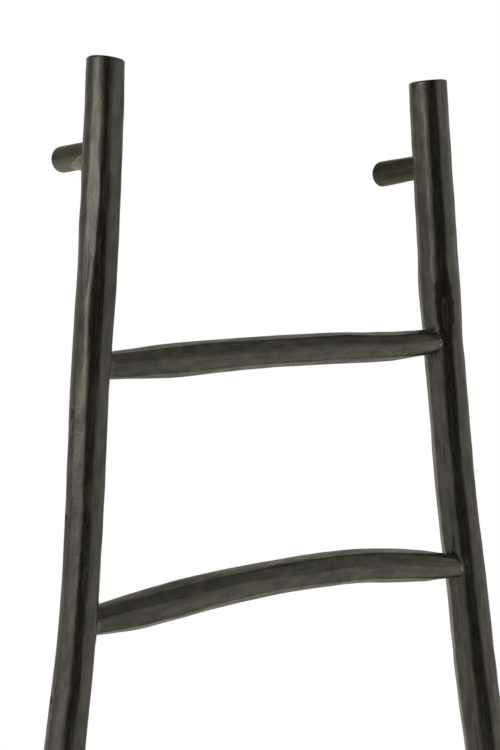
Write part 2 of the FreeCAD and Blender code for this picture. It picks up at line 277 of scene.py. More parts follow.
class Wire:  # one socket of a node tree, with arithmetic that adds Math nodes
    def __init__(self, tree, socket=None):
        self.tree, self.socket = tree, socket

    def feed(self, target, inputs):  # links wires to a node's sockets and sets plain values on them
        for key, value in inputs.items():
            if isinstance(value, Wire):
                self.tree.links.new(value.socket, target.inputs[key])
            else:
                target.inputs[key].default_value = value

    def node(self, kind, settings=None, inputs=None, output=0):  # any node, and one of its outputs
        made = self.tree.nodes.new(kind)
        for key, value in (settings or {}).items():
            if key == "stops":
                ramp = made.color_ramp
                while len(ramp.elements) < len(value):
                    ramp.elements.new(0.5)
                for element, (position, level) in zip(ramp.elements, value):
                    element.position = position
                    element.color = (level, level, level, 1)
            else:
                setattr(made, key, value)
        self.feed(made, inputs or {})
        return Wire(self.tree, made.outputs[output])

    def beside(self, output):  # another output of the same node
        return Wire(self.tree, self.socket.node.outputs[output])

    def maths(self, operation, *values):
        return self.node("ShaderNodeMath", {"operation": operation}, dict(enumerate(values)))

    def __add__(self, other): return self.maths("ADD", self, other)
    def __radd__(self, other): return self.maths("ADD", other, self)
    def __sub__(self, other): return self.maths("SUBTRACT", self, other)
    def __rsub__(self, other): return self.maths("SUBTRACT", other, self)
    def __mul__(self, other): return self.maths("MULTIPLY", self, other)
    def __rmul__(self, other): return self.maths("MULTIPLY", other, self)
    def __truediv__(self, other): return self.maths("DIVIDE", self, other)
    def __rtruediv__(self, other): return self.maths("DIVIDE", other, self)

    def between(self, low, high):  # 0 at low, 1 at high, smooth in the middle
        smooth = {"interpolation_type": "SMOOTHSTEP"}
        return self.node("ShaderNodeMapRange", smooth, {0: self, 1: low, 2: high})

    def blend(self, a, b):  # colour a where this is 0, colour b where it is 1
        return self.node("ShaderNodeMix", {"data_type": "RGBA"}, {0: self, 6: a, 7: b}, 2)

    def vectors(self, operation, vector):
        return self.node("ShaderNodeVectorMath", {"operation": operation}, {0: self, 1: vector})

    def noise(self, across, along, detail, rough):  # waves across and along the grain for each metre
        stretched = self.vectors("MULTIPLY", (across, across, along))
        return self.node("ShaderNodeTexNoise", {}, {
            "Vector": stretched, "Scale": 1.0, "Detail": detail, "Roughness": rough})

    def parts(self):
        x = self.node("ShaderNodeSeparateXYZ", {}, {0: self})
        return x, x.beside(1), x.beside(2)


stain = {
    "deep": (0.0020, 0.0018, 0.0014, 1),
    "body": (0.0066, 0.0060, 0.0047, 1),
    "thin": (0.014, 0.0102, 0.0056, 1),
    "worn": (0.052, 0.040, 0.027, 1),
    # painted highlight: a lighter colour standing in for reflections, on a spot of the second rung and on
    # the left peg's flared face
    "paintedHighlight": (0.15, 0.125, 0.095, 1),
    "bare": (0.28, 0.22, 0.15, 1),
    "scar": (0.0075, 0.0060, 0.0045, 1),
    "line": (0.026, 0.021, 0.0155, 1),
    "rough": 0.22,
    "coat": 0.55,
    "coatRough": 0.16,
    "ior": 1.5,
    "specular": (0.25, 0.25),  # level without gloss, and what full gloss adds
    "bump": (0.5, 0.0011),  # strength and distance
    "wear": 0.55,
    "cutDark": 0.6,
    "scarRough": 0.55,
    "scarSpecular": 0.12,
    "scarShare": 0.9,
    "scarLines": (1300, 14),  # growth lines across the scar, and how far they curl
    "seedShift": (0.37, 0.21, 1.9),  # where in the noise a piece's seed lands
    # waves across and along the grain for each metre, then detail and roughness
    "streak": (330, 9, 4, 0.6),
    "pore": (1300, 42, 2, 0.5),
    "mottle": (95, 40, 4, 0.62),
    "cloud": (18, 5, 2, 0.5),
    "fleck": (420, 240, 2, 0.5),
    "curl": (110, 14, 3, 0.6),
    "chatter": (150, 330, 2, 0.5),
}


def stainedWood(name, seed, body="body", gloss=1.0):
    # near-black stain over hewn wood: grain streaks along the pole, pores, worn ridges, dull branch scars
    # with growth lines, dark cuts at the ends, bare flecks at the tenon shoulders and painted highlight
    # spots
    material = bpy.data.materials.new(name)
    material.use_nodes = True
    tree = material.node_tree
    start = Wire(tree)
    grain = start.node("ShaderNodeAttribute", {"attribute_name": "grain"}, output=1)
    grain = grain.vectors("ADD", [seed * shift for shift in stain["seedShift"]])
    # the first mark is closeness to a ridge, up to 1; over 1 it asks for a painted highlight
    ridge, scar, ends = start.node("ShaderNodeAttribute", {"attribute_name": "marks"}, output=1).parts()
    cut = ends.between(0.0, 1.0)
    shoulder = (0 - ends).between(0.0, 1.0)
    streak, pore, mottle, cloud, fleck, curl, chatter = (grain.noise(*stain[key]) for key in (
        "streak", "pore", "mottle", "cloud", "fleck", "curl", "chatter"))

    # colour
    tone = (streak * 0.7 + mottle * 0.5 - 0.1).between(0.25, 0.85)
    colour = tone.blend(stain["deep"], stain[body])
    rub = ridge * cloud.between(0.42, 0.70) * mottle.between(0.35, 0.75)
    colour = (rub * stain["wear"]).blend(colour, stain["worn"])
    paintedHighlight = (ridge - 1).between(0.0, 1.0) * mottle.between(0.25, 0.7)  # a mark over 1 is a painted highlight: a lighter colour standing in for a reflection
    colour = paintedHighlight.blend(colour, stain["paintedHighlight"])
    colour = (cut * stain["cutDark"]).blend(colour, stain["deep"])
    bare = shoulder * fleck.between(0.47, 0.60)
    colour = bare.blend(colour, stain["bare"])

    # gloss and relief
    rough = stain["rough"] + (mottle - 0.5) * 0.16 + (streak - 0.5) * 0.10 + cut * 0.25 + bare * 0.3
    coat = (mottle * 0.6 + streak * 0.4).between(0.38, 0.62) * (stain["coat"] * gloss)
    height = pore * 0.35 + streak * 0.5 + mottle * 1.5
    height = height + chatter * cloud.between(0.48, 0.62) * 0.6 + scar * curl * 1.2
    strength, distance = stain["bump"]
    bump = start.node("ShaderNodeBump", {}, {"Strength": strength, "Distance": distance, "Height": height})
    plain, glossy = stain["specular"]
    start.feed(tree.nodes["Principled BSDF"], {
        "Base Color": colour, "Roughness": rough, "Normal": bump, "Coat Weight": coat,
        "Coat Roughness": stain["coatRough"], "IOR": stain["ior"],
        "Specular IOR Level": plain + glossy * gloss})
    satin = Wire(tree, tree.nodes["Principled BSDF"].outputs[0])

    # branch scars
    lineCount, lineCurl = stain["scarLines"]
    wave = grain.parts()[0] * lineCount + curl * lineCurl
    lines = wave.maths("SINE", wave).between(0.2, 1.0) * cloud.between(0.40, 0.62)
    scarTone = lines.blend(curl.blend(stain["scar"], stain["deep"]), stain["line"])
    dull = start.node("ShaderNodeBsdfPrincipled", {}, {
        "Base Color": scarTone, "Roughness": stain["scarRough"],
        "Specular IOR Level": stain["scarSpecular"], "Normal": bump})
    surface = start.node("ShaderNodeMixShader", {}, {0: scar * stain["scarShare"], 1: satin, 2: dull})
    start.feed(tree.nodes["Material Output"], {"Surface": surface})
    return material


# rails set out

rails = {
    "left": {
        "dia": 0.0425,
        "rim": 0.0022,
        "topTrim": 0.0007,
        "seed": 11,
        "front": 238,  # direction that the picture sees, in degrees
        # strokes on that side: facing, middle, half length, depth, degrees of turn for each metre
        "strokes": [
            (209, 1.655, 0.050, 0.022, 40), (213, 1.603, 0.034, 0.060, 0), (206, 1.548, 0.056, 0.052, 190),
            (196, 1.425, 0.075, 0.024, -80), (210, 1.330, 0.085, 0.034, 0), (209, 1.200, 0.110, 0.036, 40),
            (208, 1.070, 0.100, 0.038, 0),
            (252, 1.600, 0.060, 0.012, 60), (248, 1.482, 0.078, 0.054, 0), (251, 1.350, 0.090, 0.016, 0),
            (252, 1.215, 0.110, 0.013, 30), (252, 1.080, 0.110, 0.013, 0),
            (280, 1.650, 0.110, 0.014, 0), (276, 1.480, 0.110, 0.024, 0), (279, 1.300, 0.120, 0.022, 0),
            (275, 1.130, 0.120, 0.022, 0),
            (182, 1.620, 0.120, 0.020, 0), (176, 1.450, 0.110, 0.022, 0), (181, 1.280, 0.120, 0.020, 0),
            (177, 1.100, 0.120, 0.020, 0),
        ],
        "topCut": (-0.065, 0.04),  # extra slope of the sawn top, along X and along Y
        # evenly spaced from foot to top: sway in X and bow in Y as shares of dia, girth, twist in degrees
        "sway": (0.00, -0.17, -0.34, -0.51, -0.67, -0.79, -0.85, -0.82, -0.64, -0.38, -0.27, -0.22,
                 -0.10, -0.02, 0.02),
        "bow": (0.00, 0.04, 0.07, 0.09, 0.10, 0.09, 0.07, 0.04, 0.01, -0.02, -0.04, -0.05, -0.05,
                -0.02, 0.00),
        "girth": (1.09, 1.07, 1.06, 1.07, 1.04, 1.05, 1.03, 1.04, 1.05, 0.99, 0.98, 1.00, 1.01, 1.01, 0.96),
        "twist": (0, 5, 9, 12, 13, 10, 5, -2, -7, -10, -8, -3, 3, 7, 8),
        "scars": [
            {"facing": 244, "at": 1.503, "spread": 19, "half": 0.078, "depth": 0.0010, "nib": 0.0004,
             "taper": 0.5},
            {"facing": 75, "at": 0.93, "spread": 22, "half": 0.050, "depth": 0.0010, "nib": 0.0006},
            {"facing": 300, "at": 0.52, "spread": 24, "half": 0.058, "depth": 0.0011, "nib": 0.0006},
            {"facing": 150, "at": 1.21, "spread": 18, "half": 0.040, "depth": 0.0008, "nib": 0.0005},
        ],
        "nicks": [
            (182, 1.369, 0.0030, 0.0052, 0.0026), (166, 1.258, 0.0028, 0.0046, 0.0024),
            (168, 1.066, 0.0024, 0.0050, 0.0020), (221, 1.697, 0.0011, 0.0022, 0.0006),
            (220, 1.589, 0.0012, 0.0016, 0.0005), (205, 1.585, 0.0010, 0.0013, 0.0005),
            (60, 1.30, 0.0008, 0.005, 0.0008), (330, 0.80, 0.001, 0.006, 0.0008),
        ],
        "swells": [],
    },
    "right": {
        "dia": 0.0475,
        "rim": 0.0020,
        "topTrim": 0.0002,
        "seed": 23,
        "front": 228,
        "strokes": [
            (192, 1.690, 0.060, 0.014, 0), (189, 1.590, 0.080, 0.028, 20), (188, 1.480, 0.070, 0.030, 0),
            (187, 1.360, 0.090, 0.028, -20), (189, 1.230, 0.090, 0.028, 30), (187, 1.080, 0.110, 0.030, 0),
            (240, 1.680, 0.080, 0.014, 0), (241, 1.570, 0.090, 0.020, 0), (239, 1.468, 0.062, 0.036, 0),
            (241, 1.350, 0.090, 0.024, 0), (243, 1.210, 0.100, 0.022, 0), (242, 1.070, 0.110, 0.024, 0),
            (270, 1.660, 0.110, 0.016, 0), (268, 1.480, 0.120, 0.022, 0), (272, 1.290, 0.120, 0.022, 0),
            (268, 1.100, 0.120, 0.022, 0),
            (156, 1.640, 0.110, 0.016, 0), (154, 1.480, 0.090, 0.018, 0), (157, 1.320, 0.110, 0.016, 0),
            (155, 1.120, 0.120, 0.018, 0),
        ],
        "topCut": (0.0, 0.0),
        "sway": (0.00, 0.03, 0.07, 0.10, 0.12, 0.10, 0.04, -0.05, -0.15, -0.19, -0.24, -0.21, -0.15,
                 -0.06, 0.03),
        "bow": (0.00, -0.03, -0.05, -0.07, -0.08, -0.09, -0.09, -0.07, -0.04, 0.00, 0.03, 0.05, 0.05,
                0.02, 0.00),
        "girth": (1.08, 1.06, 1.05, 1.06, 1.04, 1.05, 1.03, 1.05, 1.07, 1.03, 1.02, 1.00, 1.01, 0.99, 0.97),
        "twist": (20, 16, 10, 4, -2, -6, -9, -8, -4, 2, 7, 11, 12, 8, 4),
        "scars": [
            {"facing": 240, "at": 1.466, "spread": 31, "half": 0.070, "depth": -0.0004, "nib": 0.0010},
            {"facing": 40, "at": 1.12, "spread": 22, "half": 0.050, "depth": 0.0010, "nib": 0.0006},
            {"facing": 200, "at": 0.62, "spread": 24, "half": 0.055, "depth": 0.0010, "nib": 0.0006},
            {"facing": 110, "at": 0.40, "spread": 20, "half": 0.045, "depth": 0.0009, "nib": 0.0005},
        ],
        "nicks": [
            (246, 1.726, 0.0012, 0.0024, 0.0009), (250, 1.30, 0.0008, 0.004, 0.0006),
            (140, 1.05, 0.001, 0.005, 0.0008),
        ],
        "swells": [(1.494, 0.030, 0.0013)],  # round the branch scar: place, half length, height
    },
}


def railAxis(side, height):  # the straight splayed line from foot to top, plus the pole's own sway and bow
    rail = rails[side]
    share = height / ladder["length"]
    spread = ladder["footSpacing"] + (ladder["topSpacing"] - ladder["footSpacing"]) * share
    x = ladder["outward"][side] / 2 * spread + alongTable(rail["sway"], share) * rail["dia"]
    return x, alongTable(rail["bow"], share) * rail["dia"]


def railRadius(side, height):  # half the diameter times the girth at that height
    return alongTable(rails[side]["girth"], height / ladder["length"]) * rails[side]["dia"] / 2


def railTwist(side, height):  # how far the flats have turned at that height, in radians
    return np.radians(alongTable(rails[side]["twist"], height / ladder["length"]))


# rungs set out, because the rails' mortises follow them

rungShape = {
    "dia": 0.037,
    "tenonDia": 0.028,
    "tenonRows": 9,
    "shoulder": 0.002,
    "step": 0.0008,  # half the length over which a tenon turns into its shoulder
    "stepGap": 0.0012,  # the tenon's own rows stop this far from the seat
    "leastOver": 0.0002,  # a rung stays this much thicker than its tenon
    "pastAxis": 0.008,
    "seatShare": 1.04,  # a shoulder meets the widest corner of the rail
    "sunk": 0.010,  # and its whittled end beds this far into it
    "forward": 0.0030,  # the right ends lie this far to the front of their rail's axis
    "taper": (0.05, 0.022),  # the right end is whittled thinner: share and length
    "rim": 0.0008,
    "around": 112,
    "rows": 300,
    "crisp": 3800,  # sharpness of the ridges
    "stroke": {"length": (0.14, 0.30), "cut": (0.030, 0.058), "jitter": 0.07},
    # short cuts round both ends: how many, their turn from rung to rung, place, scatter, half length, depth
    "whittle": {"count": 9, "turned": 0.3, "at": 0.012, "jitter": 0.1, "slide": 0.006,
                "half": (0.045, 0.075), "cut": (0.015, 0.045)},
    "uneven": ({"waves": 7, "pitch": (0.05, 0.22), "lobes": (0, 4), "height": 0.00022},
               {"waves": 12, "pitch": (0.03, 0.09), "lobes": (4, 9), "height": 0.00009}),
    "fade": 0.008,  # the hewing runs out over this length at a shoulder
    "bareRing": ((0.0020, 0.0035), (0.0085, 0.0060)),  # where bare wood begins and ends inside a shoulder
    "bareLeft": (3.4, 0.9, 0.5),  # a thin bare line in front on the left: facing, width, strength
    "bareRight": (3.2, 0.28, 1.0),  # and a small bare spot on the right
    # where a painted highlight spot fades out
    "highlightEdge": (0.1, 0.9),
}
# lift is how much higher the right end sits than the left, and rise is the arch, as shares of the diameter
# cuts are single longer strokes: facing, share of the span, half length, depth
# painted highlight spots, a lighter colour in place of a reflection: facing, distance from the right
# shoulder, half width, half length, strength
rungs = {
    "bottom_rung": {
        "seed": 31, "twist": 9, "lift": 0.20,
        "rise": (0, 0.08, 0.17, 0.25, 0.31, 0.34, 0.33, 0.27, 0.18, 0.08, 0),
        "girth": (1.04, 1.11, 1.12, 1.10, 1.08, 1.09, 1.11, 1.10, 1.02),
    },
    "fourth_rung": {
        "seed": 32, "twist": -12, "lift": 0.12,
        "rise": (0, -0.03, -0.08, -0.13, -0.17, -0.17, -0.14, -0.08, -0.02, 0.01, 0),
        "girth": (1.00, 1.07, 1.05, 1.03, 1.01, 1.03, 1.06, 1.07, 0.99),
    },
    "third_rung": {
        "seed": 33, "twist": 5, "lift": 0.30,
        "rise": (0, 0.03, 0.08, 0.15, 0.21, 0.24, 0.23, 0.17, 0.09, 0.03, 0),
        "girth": (0.99, 1.05, 1.06, 1.05, 1.03, 1.01, 1.02, 1.04, 0.97),
    },
    "second_rung": {
        "seed": 34, "twist": -4, "lift": 0.35,
        "cuts": [(266, 0, 0.062, 0.09), (258, 1, 0.052, 0.19), (80, 1, 0.050, 0.07),
                 (189, 0.10, 0.055, 0.075), (191, 0.22, 0.060, 0.082), (190, 0.35, 0.065, 0.074)],
        # a painted highlight on the front near the right end
        "highlightSpots": [(184, 0.077, 0.0030, 0.014, 0.62)],
        "rise": (0, 0.11, 0.26, 0.40, 0.49, 0.54, 0.56, 0.52, 0.38, 0.21, 0),
        "girth": (1.06, 1.12, 1.10, 1.07, 1.05, 1.07, 1.08, 1.09, 1.01),
    },
    "top_rung": {
        "seed": 35, "twist": -4, "lift": 0.43,
        "cuts": [(268, 0, 0.088, 0.12), (264, 1, 0.074, 0.13)],
        "rise": (0, 0.01, 0.03, 0.06, 0.08, 0.08, 0.06, 0.03, -0.02, -0.03, 0),
        "girth": (0.97, 1.04, 1.01, 0.99, 0.98, 0.99, 0.99, 0.96, 0.92),
    },
}


def jointPlace(name, side):  # where a rung's axis meets a rail's axis, on the bench
    height = ladder["footGap"] + list(rungs).index(name) * ladder["rungSpacing"]
    height = np.array(height + ladder["outward"][side] / 2 * rungs[name]["lift"] * rungShape["dia"])
    x, y = railAxis(side, height)
    return np.array([x, y, height], float)


# rails hewn

railShape = {
    "rows": 700,
    "around": 128,
    "margin": 0.0001,  # left under the foot's rim
    "crisp": 2700,
    "roundShare": 1.03,
    "stroke": {"length": (0.16, 0.34), "cut": (-0.004, 0.022), "jitter": 0.10},
    "shownArc": 1.25,  # within this angle of the front, in radians, and above this height, a rail has
    "shownFrom": 1.0,  # its own strokes in place of the scattered ones
    "uneven": ({"waves": 9, "pitch": (0.05, 0.30), "lobes": (0, 4), "height": 0.00034},
               {"waves": 16, "pitch": (0.030, 0.120), "lobes": (3, 8), "height": 0.00017}),
    "nickDull": 0.0012,  # a nick this deep is fully dull
    "footTrim": (0.014, 0.06),  # keeps the foot inside the CAD outline: share and length
    "endCut": 0.05,  # length over which the rings turn to the cut of an end
}
mortise = {
    "lip": (0.0010, 0.0205, 0.0035),  # height, distance from the rung's axis, width
    "even": 0.5,
    "lumps": (0.3, 3),  # strength and number round the lip
    "crumbs": (0.25, 13),
    "hollow": (0.0008, 0.0150),
    "gap": (0.35, 0.0160, 0.0010),  # the dark line round the tenon
}
railBacks = {}


def mortiseLips(side, turn, along, radius):
    # by the distance over the surface from each rung's axis: an uneven raised ring round a shallow hollow,
    # and a dark gap
    facing = 0 if side == "right" else np.pi
    aside = (rungShape["forward"] if side == "right" else 0) / radius
    across = swing(turn[None, :] + np.pi - facing - aside[:, None]) * radius[:, None]
    lip = np.zeros_like(across)
    gap = np.zeros_like(across)
    lipHeight, lipAt, lipWidth = mortise["lip"]
    gapDark, gapAt, gapWidth = mortise["gap"]
    hollow, hollowWidth = mortise["hollow"]
    (lump, lumps), (crumb, crumbs) = mortise["lumps"], mortise["crumbs"]
    for number, name in enumerate(rungs):
        above = (along - jointPlace(name, side)[2])[:, None]
        away = np.hypot(across, above)
        bearing = np.arctan2(above, across)
        uneven = mortise["even"] + lump * np.sin(lumps * bearing + 2 * number + facing)
        uneven = uneven + crumb * np.sin(crumbs * bearing + number)
        lip += lipHeight * uneven * bell(away - lipAt, lipWidth) - hollow * bell(away, hollowWidth)
        gap = np.maximum(gap, gapDark * bell(away - gapAt, gapWidth))
    return lip, gap


def hewnRail(side):
    # a pole up its swaying axis: hewn by strokes, then wander, scars, nicks, mortise lips and swellings
    rail = rails[side]
    length, rim = ladder["length"], rail["rim"]
    along = np.linspace(rim + railShape["margin"], length - rim - rail["topTrim"], railShape["rows"])
    turn = turnsRound(railShape["around"])
    radius = railRadius(side, along)
    strokes = []
    for number, flat in enumerate(ladder["flats"]):
        rowSeed = rail["seed"] * 10 + number
        for offset, middle, half, cut in knifeStrokes(rowSeed, length, [0.0], railShape["stroke"]):
            facing = fullTurn * flat + railTwist(side, middle) + offset
            fromFront = np.abs(swing(facing - np.radians(rail["front"])))
            if fromFront >= railShape["shownArc"] or middle <= railShape["shownFrom"]:
                strokes.append((fullTurn * flat + railTwist(side, along) + offset, middle, half, cut))
    for facing, middle, half, cut, turned in rail["strokes"]:
        strokes.append((np.radians(facing + turned * (along - middle)), middle, half, cut))
    surface, ridge = hewnRadius(turn, along, radius, strokes, railShape["crisp"], railShape["roundShare"])
    for step, grown in enumerate(railShape["uneven"]):
        surface += wander(rail["seed"] + step, turn, along, grown)
    dent, dull = scarField(turn, along, rail["scars"])
    nicked = nickField(turn, along, rail["nicks"])
    surface -= dent + nicked
    dull = np.maximum(dull, np.clip(nicked / railShape["nickDull"], 0, 1))
    trim, trimLength = railShape["footTrim"]
    surface *= 1 - trim * (1 - ease(0, trimLength, along))[:, None]
    lip, gap = mortiseLips(side, turn, along, radius)
    surface += lip
    dull = np.maximum(dull, gap)
    for at, half, height in rail["swells"]:
        surface += height * bell(along - at, half)[:, None]
    marks = np.stack([ridge, dull, np.zeros_like(dull)], -1)
    x, y = railAxis(side, along)
    centre = np.stack([x, y, along], -1)
    splay = np.arctan((ladder["footSpacing"] - ladder["topSpacing"]) / 2 / length)
    foot = 1 - ease(0, railShape["endCut"], along)  # cut level with the floor
    top = ease(length - railShape["endCut"], length, along)  # cut square to the splay, plus its own slope
    tip = top * splay * ladder["outward"][side]
    tilt = foot * ladder["lean"]
    across = np.stack([np.cos(tip), 0 * tip, np.sin(tip) + top * rail["topCut"][0]], -1)
    upward = np.stack([0 * tilt, np.cos(tilt), np.sin(tilt) + top * rail["topCut"][1]], -1)
    railBacks[side] = (along, surface[:, railShape["around"] // 4])  # a quarter turn round, for the pins
    return poleMesh(f"{side}Rail", centre, across, upward, surface, turn, along, marks, rim)


for side in rails:
    rail = hewnRail(side)
    dress(rail, f"{side}_rail", stainedWood(f"{side}RailStain", rails[side]["seed"]))
    print("rail hewn:", side, len(rail.data.polygons), "faces")


# rungs hewn

def hewnRung(name):
    # a pole along X between two shoulders, arched by its rise, with a round tenon past each shoulder
    rung = rungs[name]
    joint = {side: jointPlace(name, side) for side in rails}
    seat, tip = {}, {}
    for side, outward in ladder["outward"].items():
        bed = rungShape["seatShare"] * railRadius(side, joint[side][2]) - rungShape["sunk"]
        seat[side] = joint[side][0] - outward * bed
        tip[side] = joint[side][0] + outward * rungShape["pastAxis"]
    step, stepGap, tenonRows = rungShape["step"], rungShape["stepGap"], rungShape["tenonRows"]
    x = np.concatenate([np.linspace(tip["left"], seat["left"] - stepGap, tenonRows),
                        np.linspace(seat["left"] - step, seat["right"] + step, rungShape["rows"]),
                        np.linspace(seat["right"] + stepGap, tip["right"], tenonRows)])
    span = seat["right"] - seat["left"]
    along = x - seat["left"]
    inside = np.minimum(along, span - along)  # distance inside the nearer shoulder

    # girth along the rung
    tenon = rungShape["tenonDia"] / 2
    ends = (2 * (tenon + rungShape["shoulder"]) / rungShape["dia"],)
    girth = alongTable(ends + rung["girth"] + ends, along / span) * rungShape["dia"] / 2
    taper, taperLength = rungShape["taper"]
    girth = girth * (1 - taper * ease(span - taperLength, span, along))
    girth = np.maximum(girth, tenon + rungShape["leastOver"])
    radius = tenon + (girth - tenon) * ease(-step, step, inside)

    # strokes
    turn = turnsRound(rungShape["around"])
    facings = [fullTurn * flat + np.radians(rung["twist"]) for flat in ladder["flats"]]
    strokes = knifeStrokes(rung["seed"], span, facings, rungShape["stroke"])
    whittle = rungShape["whittle"]
    rng = np.random.default_rng(rung["seed"] + 100)
    for number in range(whittle["count"]):
        facing = fullTurn * (number + whittle["turned"] * (rung["seed"] % 3)) / whittle["count"]
        for middle in (whittle["at"], span - whittle["at"]):
            strokes.append((facing + rng.normal(0, whittle["jitter"]),
                            middle + rng.normal(0, whittle["slide"]),
                            rng.uniform(*whittle["half"]), rng.uniform(*whittle["cut"])))
    for facing, share, half, cut in rung.get("cuts", ()):
        strokes.append((np.radians(facing), share * span, half, cut))
    hewn, ridge = hewnRadius(turn, along, radius, strokes, rungShape["crisp"])
    for number, grown in enumerate(rungShape["uneven"]):
        hewn += wander(rung["seed"] + number, turn, along, grown)
    fade = ease(0.0, rungShape["fade"], inside)[:, None]
    surface = radius[:, None] + (hewn - radius[:, None]) * fade

    # worn and bare places, and painted highlight spots
    ridge = ridge * fade
    # painted highlight spots: the mark goes over 1, so the colour there is painted lighter in place of a
    # reflection
    for facing, fromRight, wide, tall, strength in rung.get("highlightSpots", ()):
        aside = swing(turn - np.radians(facing))[None, :] * rungShape["dia"] / 2 / wide
        spot = np.exp(-aside ** 2 - ((along - span + fromRight)[:, None] / tall) ** 2)
        ridge = np.maximum(ridge, (1 + strength) * ease(*rungShape["highlightEdge"], spot))
    left, right = (strength * bell(swing(turn - facing), width)[None, :]
                   for facing, width, strength in (rungShape["bareLeft"], rungShape["bareRight"]))
    begin, finish = rungShape["bareRing"]
    ring = ease(*begin, inside) * ease(*finish, inside)
    bare = -ring[:, None] * np.where(along[:, None] < span / 2, left, right)
    marks = np.stack([ridge, np.zeros_like(ridge), bare], -1)

    # centre line
    level = np.clip(along / span, 0, 1)
    y = joint["left"][1] + level * (joint["right"][1] - joint["left"][1] - rungShape["forward"])
    z = joint["left"][2] + level * (joint["right"][2] - joint["left"][2])
    z = z + alongTable(rung["rise"], level) * rungShape["dia"]
    centre = np.stack([x, y, z], -1)
    across = np.tile([0.0, 1.0, 0.0], (len(x), 1))
    upward = np.tile([0.0, 0.0, 1.0], (len(x), 1))
    pieceName = name.split("_")[0] + "Rung"
    return poleMesh(pieceName, centre, across, upward, surface, turn, along, marks, rungShape["rim"])


for name in rungs:
    rung = hewnRung(name)
    dress(rung, name, stainedWood(f"{rung.name}Stain", rungs[name]["seed"]))
    print("rung hewn:", name, len(rung.data.polygons), "faces")


# wall pegs

pegs = {
    "dia": 0.0303,
    "drop": 0.102,  # from the top of the rails
    "reach": 0.0937,  # of the wall ends, along Y
    "root": 0.02,  # where a peg comes out of its rail, along Y
    "toeIn": 0.005,  # the wall ends lean towards each other
    "raised": {"left": 0.0016, "right": -0.0024},  # and stand a little off level
    "girth": {"left": (1.00, 1.00, 0.99, 0.99), "right": (0.97, 1.00, 1.03, 1.05)},
    "rim": 0.0036,
    "around": 96,
    "rows": 70,
    "seed": {"left": 41, "right": 42},
    "turned": 0.02,
    "stroke": {"length": (0.06, 0.13), "cut": (-0.020, 0.008), "jitter": 0.10},
    "crisp": 1800,
    "uneven": ({"waves": 6, "pitch": (0.03, 0.12), "lobes": (0, 4), "height": 0.0002},
               {"waves": 12, "pitch": (0.025, 0.07), "lobes": (3, 7), "height": 0.00016}),
    "worn": (0.85, 0.45, 0.9),  # the wall end is worn round: how far, from and to which share of the length
    # under a peg a whittled face flares out towards the rail, and gets a painted highlight there
    "flare": {"left": 0.13, "right": 0.0},
    "flareLength": 0.058,
    "flareFacing": np.pi + 0.45,
    "flareFall": 0.0040,
    "flareCrisp": 9000,
    "flareHighlight": 0.0006,
    "finish": ("thin", 0.1),  # stain and gloss
}


def hewnPeg(side):
    # a short pole along Y out of the back of the rail, its wall end cut upright
    height = np.array(ladder["length"] - pegs["drop"])
    x, axis = railAxis(side, height)
    y = np.linspace(axis, pegs["reach"] - pegs["rim"], pegs["rows"])
    along = y - axis
    share = along / along[-1]
    out = (y - pegs["root"]) / (pegs["reach"] - pegs["root"])
    radius = alongTable(pegs["girth"][side], out) * pegs["dia"] / 2
    turn = turnsRound(pegs["around"])
    seed = pegs["seed"][side]
    facings = [fullTurn * (flat + pegs["turned"]) for flat in ladder["flats"]]
    strokes = knifeStrokes(seed, along[-1], facings, pegs["stroke"])
    hewn, ridge = hewnRadius(turn, along, radius, strokes, pegs["crisp"])
    for step, grown in enumerate(pegs["uneven"]):
        hewn += wander(seed + step, turn, along, grown)
    worn, wornFrom, wornTo = pegs["worn"]
    hewn += (radius[:, None] - hewn) * (worn * ease(wornFrom, wornTo, share)[:, None])
    flare = pegs["flare"][side] * (pegs["flareLength"] - along)[:, None]
    flare = flare - pegs["flareFall"] * swing(turn - pegs["flareFacing"])[None, :] ** 2
    hewn += np.logaddexp(0, flare * pegs["flareCrisp"]) / pegs["flareCrisp"]
    # the flared face gets a painted highlight: a lighter colour in place of its bright reflection
    paintedHighlight = ease(0, pegs["flareHighlight"], flare)
    marks = np.stack([ridge + paintedHighlight, np.zeros_like(ridge), np.zeros_like(ridge)], -1)
    tilt = ease(0.0, along[-1], along) * ladder["lean"]
    across = np.stack([0 * y, -np.sin(tilt), np.cos(tilt)], -1)
    upward = np.tile([1.0, 0.0, 0.0], (len(y), 1))
    out = np.clip(out, 0, 1)
    toe = ladder["outward"][side] * pegs["toeIn"] * out
    centre = np.stack([x - toe, y, height + pegs["raised"][side] * out], -1)
    return poleMesh(f"{side}WallPeg", centre, across, upward, hewn, turn, along, marks, pegs["rim"])


for side in rails:
    peg = hewnPeg(side)
    pegStain = stainedWood(f"{side}PegStain", pegs["seed"][side], *pegs["finish"])
    dress(peg, f"{side}_wall_peg", pegStain)
    print("peg hewn:", side, len(peg.data.polygons), "faces")


# locking pins

pins = {
    "dia": 0.006,
    "length": 0.033,
    "proud": 0.0005,
    "around": 28,
    # places from the blind end, and the shares of the radius there
    "profile": (0, 0.0006, 0.004, 0.012, 0.024, 0.030, 0.0318, 0.0324, 0.0328, 0.03296),
    "width": (0.86, 1, 1, 1, 1, 1, 1, 0.93, 0.72, 0.34),
    "endGrain": 0.6,
    "seed": 51,
}


